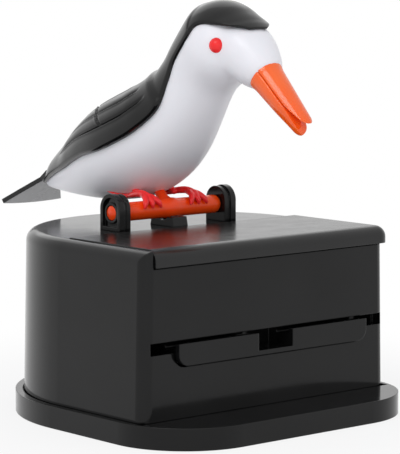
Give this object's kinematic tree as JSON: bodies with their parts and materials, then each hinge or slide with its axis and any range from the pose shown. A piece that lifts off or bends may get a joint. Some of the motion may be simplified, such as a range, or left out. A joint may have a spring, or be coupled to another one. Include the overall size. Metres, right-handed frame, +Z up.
{
  "type": "toothpick dispenser",
  "caption": "D-shaped table-top toothpick dispenser on a tray; a bird on a perch tips down and a sliding carriage offers a pick through the front slot.",
  "frame": {"origin": "on the underside of the tray, at the centre of the box's round back", "axes": "+Z up, front of the box towards -Y, +X to the right of someone who stands in front and faces the box"},
  "size_m": [0.0938, 0.1236, 0.1147],
  "materials": {
    "black_gloss": "gloss black moulded plastic",
    "black_inner": "plain black moulded plastic",
    "white_plastic": "satin white moulded plastic",
    "orange_plastic": "gloss orange moulded plastic",
    "red_plastic": "gloss red moulded plastic",
    "natural_plastic": "uncoloured slippery plastic",
    "steel": "plain bright steel"
  },
  "bodies": {
    "housing": {"base_tray": "black_gloss", "housing_shell": "black_gloss", "left_bracket": "black_gloss", "right_bracket": "black_gloss", "lever_guard": "black_gloss", "pick_hopper": "black_inner", "carriage_bed": "black_inner", "rocker_post": "black_inner", "rocker_pin": "steel", "spring_anchor": "black_inner", "return_spring": "steel", "base_screws": "steel"},
    "lid": {"refill_lid": "black_gloss", "lid_runner": "black_gloss"},
    "bird": {"perch_bar": "orange_plastic", "crank_arm": "black_inner", "crank_pin": "steel", "bird_body": "white_plastic", "back_shell": "black_gloss", "tail_fan": "black_gloss", "upper_beak": "orange_plastic", "lower_beak": "orange_plastic", "left_eye": "red_plastic", "right_eye": "red_plastic", "left_foot": "red_plastic", "right_foot": "red_plastic"},
    "carriage": {"pick_carriage": "black_gloss", "carriage_pin": "steel"},
    "rocker": {"rocker_lever": "natural_plastic"}
  },
  "joints": [
    {"name": "bird_peck", "type": "hinge", "parent": "housing", "child": "bird", "pos_m": [0, 0.0057, 0.0559], "axis": [1, 0, 0], "range_deg": [0, 56], "stiffness_Nm_per_rad": 0.06, "springref_deg": -22.92},
    {"name": "carriage_slide", "type": "slide", "parent": "housing", "child": "carriage", "axis": [0, -1, 0], "range_m": [0, 0.014], "deforming": ["return_spring"]},
    {"name": "rocker_turn", "type": "hinge", "parent": "housing", "child": "rocker", "pos_m": [0, 0.0057, 0.034], "axis": [1, 0, 0], "range_deg": [-51, 0]},
    {"name": "lid_slide", "type": "slide", "parent": "housing", "child": "lid", "axis": [1, 0, 0], "range_m": [0, 0.07]}
  ],
  "couplings": [
    {"joint": "carriage_slide", "follows": "bird_peck", "m_per_rad": 0.014324},
    {"joint": "rocker_turn", "follows": "bird_peck", "ratio": -0.89346}
  ]
}
